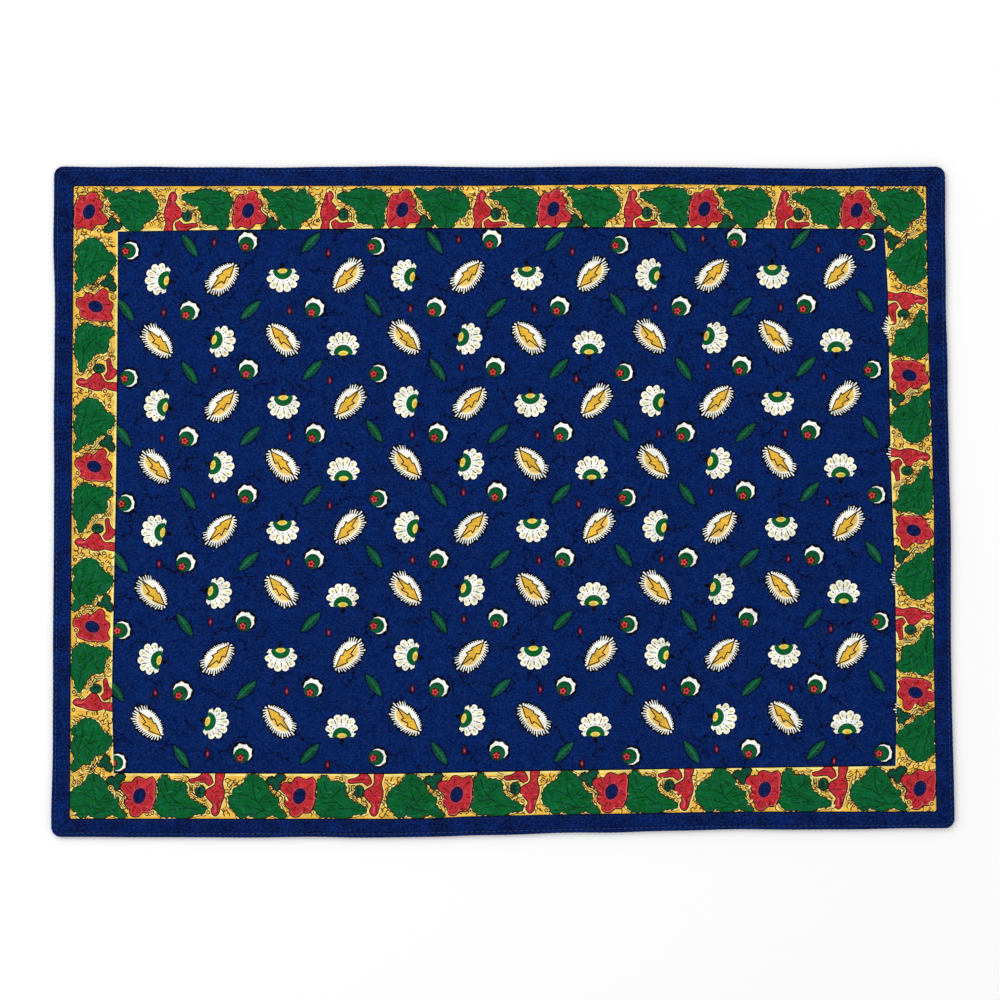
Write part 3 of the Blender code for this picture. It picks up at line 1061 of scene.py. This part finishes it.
def tape_dye(part, height):
    """The navy round a loop, with painted shade: darker in the needle holes, the folds, the inner edge and
    under the mat.
    """
    # Painted shade: the tape's lower and under faces are darker.
    shade = np.full(len(travelled), 1.0 if height > 1.0 else 0.8)
    if height > 1.0:
        # Painted shade in the needle holes of both rows.
        shade -= 0.62 * needle ** 2 * bell(part - OUTER_ROW, 0.045)
        shade -= 0.35 * needle ** 2 * bell(part - INNER_ROW, 0.04)
        # Painted shade along the tape's inner edge, where it turns down to the cloth.
        shade -= 0.5 * (part > 0.99)
        shade += 0.12 * bell(part - 0.12, 0.05) + 0.15 * waves(travelled, part * 9.0, 15, 12)
        # Painted shade in the folded mitres at the corners.
        for gap in from_mitres:
            shade -= 0.4 * bell(gap - 0.3, 0.8) * (0.15 < part)
    return np.append(np.outer(shade, linear(NAVY_TAPE)[:3]), np.ones((len(shade), 1)), axis=1)


dye_layer = tape_mesh.color_attributes.new("dye", "FLOAT_COLOR", "POINT")
dyes = np.concatenate([tape_dye(part, height) for part, height in TOP_OF_TAPE + REST_OF_TAPE])
dye_layer.data.foreach_set("color", dyes.ravel())
print("dye of the tape", dyes.min(0).round(4), "to", dyes.max(0).round(4))


# %% [markdown]
# ## The sewing thread
#
# Two machine-sewn rows hold the tape, the outer one in a lighter thread that is a painted highlight on
# its stitches. Each stitch is the same short grain of thread, so Geometry Nodes set one on every step
# of a line: the line is resampled at the stitch's pitch, and a small ellipsoid is placed and turned along it.

# %% A tree for a row of stitches
def add_node(tree, kind, inputs=None, **settings):
    """Adds a node, or takes one that is there, sets its settings, and fills its inputs with values,
    with links from sockets, or with links from the first sockets of nodes."""
    made = tree.nodes.new(kind) if isinstance(kind, str) else kind
    for name, value in settings.items():
        setattr(made, name, value)
    for key, value in (inputs or {}).items():
        value = value.outputs[0] if isinstance(value, bpy.types.Node) else value
        if isinstance(value, bpy.types.NodeSocket):
            tree.links.new(value, made.inputs[key])
        else:
            made.inputs[key].default_value = value
    return made


def stitch_row_tree(thread):
    """Stitches along a closed line, by their pitch, length and thickness in metres."""
    tree = bpy.data.node_groups.new("row_of_stitches", "GeometryNodeTree")
    add = functools.partial(add_node, tree)
    face = tree.interface
    face.new_socket("Geometry", in_out="INPUT", socket_type="NodeSocketGeometry")
    for name, size in (("Stitch pitch", pitch), ("Stitch length", 2.5), ("Thread thickness", 0.42)):
        face.new_socket(name, in_out="INPUT", socket_type="NodeSocketFloat").default_value = size * MM
    face.new_socket("Geometry", in_out="OUTPUT", socket_type="NodeSocketGeometry")
    given = add("NodeGroupInput")
    thick = given.outputs["Thread thickness"]
    line = add("GeometryNodeMeshToCurve", {"Mesh": given})
    steps = add("GeometryNodeResampleCurve",
                {"Curve": line, "Length": given.outputs["Stitch pitch"]}, mode="LENGTH")
    grain = add("GeometryNodeMeshUVSphere", {"Segments": 8, "Rings": 5, "Radius": 0.5})
    size = add("ShaderNodeCombineXYZ", {"X": given.outputs["Stitch length"], "Y": thick, "Z": thick})
    drawn = add("GeometryNodeTransform", {"Geometry": grain, "Scale": size})
    along = add("GeometryNodeInputTangent")
    turn = add("FunctionNodeAlignRotationToVector", {"Vector": along}, axis="X", pivot_axis="Z")
    sewn = add("GeometryNodeInstanceOnPoints", {"Points": steps, "Instance": drawn, "Rotation": turn})
    real = add("GeometryNodeRealizeInstances", {"Geometry": sewn})
    smooth = add("GeometryNodeSetShadeSmooth", {"Geometry": real})
    finish = add("GeometryNodeSetMaterial", {"Geometry": smooth, "Material": thread})
    add("NodeGroupOutput", {"Geometry": finish})
    return tree


print("tree ready for", stitches_round, "stitches a row")


# %% [markdown]
# ## Materials
#
# Printed cotton is a plain weave of matt yarns with pigment ink in its upper fibres: soft, without
# gloss, a little uneven in colour. The tape is the same cotton dyed through. The thread is spun
# polyester, which shines a little more than cotton.

# %% Colour and weave
def new_material(name):
    """A material, a function that adds nodes to it, its shader and the place on the object."""
    material = bpy.data.materials.new(name)
    material.use_nodes = True
    add = functools.partial(add_node, material.node_tree)
    shader = material.node_tree.nodes["Principled BSDF"]
    return material, add, shader, add("ShaderNodeTexCoord").outputs["Object"]


def weave_height(add, place, thread):
    """A plain weave's bumps: the product of two sine waves, with a thread's spacing in metres."""
    parts = add("ShaderNodeSeparateXYZ", {0: place})
    sines = []
    for axis in ("X", "Y"):
        turns = add("ShaderNodeMath", {0: parts.outputs[axis], 1: math.pi / thread}, operation="MULTIPLY")
        sines.append(add("ShaderNodeMath", {0: turns}, operation="SINE"))
    return add("ShaderNodeMath", dict(enumerate(sines)), operation="MULTIPLY")


def cotton(name, dye_name, uneven, fuzz):
    """Plain weave cotton, by the attribute that holds its colour with any painted shade, how uneven it is and
    how fuzzy.
    """
    material, add, shader, place = new_material(name)
    dye = add("ShaderNodeAttribute", attribute_name=dye_name)
    # The real yarns lie 0.4 mm apart, finer than the picture shows, so they are drawn 0.9 mm apart.
    weave = weave_height(add, place, 0.9 * MM)
    blotch = add("ShaderNodeTexNoise", {"Vector": place, "Scale": 1 / (6 * MM), "Detail": 4.0})
    yarn_place = add("ShaderNodeMapping", {"Vector": place, "Scale": (1 / (14 * MM), 1 / (0.8 * MM), 1.0)})
    yarns = add("ShaderNodeTexNoise", {"Vector": yarn_place, "Scale": 1.0, "Detail": 2.0})
    mixed = add("ShaderNodeMath", {0: blotch, 1: yarns}, operation="ADD")
    # Worn fibres are lighter by a share of the colour, and by a little blue where the colour is very dark.
    light = add("ShaderNodeMapRange", {0: mixed, 1: 0.7, 2: 1.3, 3: 1 - uneven, 4: 1 + uneven})
    woven = add("ShaderNodeMapRange", {0: weave, 1: -1.0, 2: 1.0, 3: 0.93, 4: 1.07})
    both = add("ShaderNodeMath", {0: light, 1: woven}, operation="MULTIPLY")
    base = add("ShaderNodeVectorMath", {0: dye, "Scale": both}, operation="SCALE")
    specks = add("ShaderNodeTexNoise", {"Vector": place, "Scale": 1 / (0.9 * MM), "Detail": 2.0})
    amount = add("ShaderNodeMapRange", {0: specks, 1: 0.3, 2: 0.7, 3: -fuzz, 4: fuzz})
    fibres = add("ShaderNodeVectorMath", {0: (0.17, 0.33, 1.0), "Scale": amount}, operation="SCALE")
    dusted = add("ShaderNodeVectorMath", {0: base, 1: fibres}, operation="ADD")
    safe = add("ShaderNodeVectorMath", {0: dusted, 1: (0, 0, 0)}, operation="MAXIMUM")
    relief = add("ShaderNodeMath", {0: yarns, 1: 0.6, 2: weave}, operation="MULTIPLY_ADD")
    bump = add("ShaderNodeBump", {"Height": relief, "Strength": 0.5, "Distance": 0.12 * MM})
    rough = add("ShaderNodeMapRange", {0: mixed, 1: 0.7, 2: 1.3, 3: 0.8, 4: 0.92})
    add(shader, {"Base Color": safe, "Normal": bump, "Roughness": rough,
                 "IOR": 1.47, "Specular IOR Level": 0.06})
    return material


def spun_thread(name, colour):
    """Spun polyester sewing thread, slightly glossy."""
    material, add, shader, place = new_material(name)
    twist = add("ShaderNodeTexNoise", {"Vector": place, "Scale": 1 / (0.5 * MM), "Detail": 2.0})
    shade = add("ShaderNodeMapRange", {0: twist, 1: 0.3, 2: 0.7, 3: 0.75, 4: 1.25})
    dyed = add("ShaderNodeVectorMath", {0: linear(colour)[:3], "Scale": shade}, operation="SCALE")
    add(shader, {"Base Color": dyed, "Roughness": 0.6, "Specular IOR Level": 0.15})
    return material


printed_cotton = cotton("printed_cotton", "ink", 0.27, 0.031)
navy_tape = cotton("navy_tape", "dye", 0.45, 0.036)
# The outer row's thread is painted a lighter blue than the inner one, as painted highlight on its stitches.
top_thread = spun_thread("top_thread", "#2a4278")
seam_thread = spun_thread("seam_thread", "#12285c")
printed_cloth.data.materials.append(printed_cotton)
bound_edge.data.materials.append(navy_tape)
print("materials", [m.name for m in (printed_cotton, navy_tape, top_thread, seam_thread)])


# %% Sewing the rows
def sew_row(name, part, height, thread):
    """A row of stitches at a part of the tape's width and a height in mm, as a plain mesh."""
    places = across_rim(part, tape_edge, tape_seam)
    _, links = loops_to_cut([places])
    line = mesh_in_mm(name + "_line", np.column_stack([places, np.full(len(places), height)]), links, [])
    guide = in_scene(name + "_line", line)
    tree = stitch_row_tree(thread)
    sewing = guide.modifiers.new("sewing", "NODES")
    sewing.node_group = tree
    way = float(np.sum(np.linalg.norm(places - np.roll(places, 1, 0), axis=1)))
    for socket in tree.interface.items_tree:
        if socket.name == "Stitch pitch" and socket.in_out == "INPUT":
            sewing[socket.identifier] = way / stitches_round * MM
    mesh = bpy.data.meshes.new_from_object(guide.evaluated_get(bpy.context.evaluated_depsgraph_get()))
    bpy.data.objects.remove(guide, do_unlink=True)
    print(name, len(mesh.polygons), "faces")
    return in_scene(name, mesh)


outer_stitches = sew_row("outer_stitches", OUTER_ROW, 2.56, top_thread)
inner_stitches = sew_row("inner_stitches", INNER_ROW, 2.62, seam_thread)


# %% [markdown]
# ## What each piece is
#
# The cloth and the tape stand for the two CAD nodes, whose plain parts are hidden. All four pieces
# hang from one body, and the thread lies on the tape.

# %% Pieces under one body
for piece in (printed_cloth, bound_edge, outer_stitches, inner_stitches):
    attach(piece, "root")
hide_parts("printed_panel")
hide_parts("edge_binding")


# %% [markdown]
# ## Floor, light and camera
#
# The photograph looks straight down on a white surface under even light. A wide white floor, a soft
# sky and one large lamp from the upper left give that, and a long lens keeps the sides parallel.

# %% Studio
FLOOR = 4000        # half the floor's width in mm. The floor lies 0.1 mm under the mat.
floor_corners = [(x * FLOOR, y * FLOOR, -0.1) for x, y in ((-1, -1), (1, -1), (1, 1), (-1, 1))]
studio_floor = in_scene("studio_floor", mesh_in_mm("studio_floor", floor_corners, [], [(0, 1, 2, 3)]))
paper = bpy.data.materials.new("white_paper")
paper.use_nodes = True
add_node(paper.node_tree, paper.node_tree.nodes["Principled BSDF"],
         {"Base Color": (0.97, 0.97, 0.97, 1.0), "Roughness": 0.9, "Specular IOR Level": 0.1})
studio_floor.data.materials.append(paper)

world = bpy.data.worlds.new("soft_sky")
bpy.context.scene.world = world
world.use_nodes = True
add_node(world.node_tree, world.node_tree.nodes["Background"],
         {"Color": (1.0, 1.0, 1.0, 1.0), "Strength": 0.84})
lamp = bpy.data.lights.new("soft_box", "AREA")
lamp.size = 1.2
lamp.energy = 14.0
soft_box = in_scene("soft_box", lamp)
soft_box.location = (-1.1, 1.0, 1.3)
soft_box.rotation_euler = (-soft_box.location).to_track_quat("-Z", "Y").to_euler()

# The photograph is 1000 pixels wide, and a pixel is 0.5246 mm. Its middle lies a little off the mat's.
PICTURE_WIDE, LENS, SENSOR = 524.6, 150, 36
camera_data = bpy.data.cameras.new("camera")
camera_data.lens, camera_data.sensor_width = LENS, SENSOR
camera_data.clip_start, camera_data.clip_end = 0.05, 20
camera = in_scene("camera", camera_data)
camera.location = (-1.57 * MM, 1.05 * MM, PICTURE_WIDE * MM * LENS / SENSOR)
bpy.context.scene.camera = camera
bpy.context.scene.view_settings.view_transform = "Standard"
print("camera at", [round(v, 3) for v in camera.location])
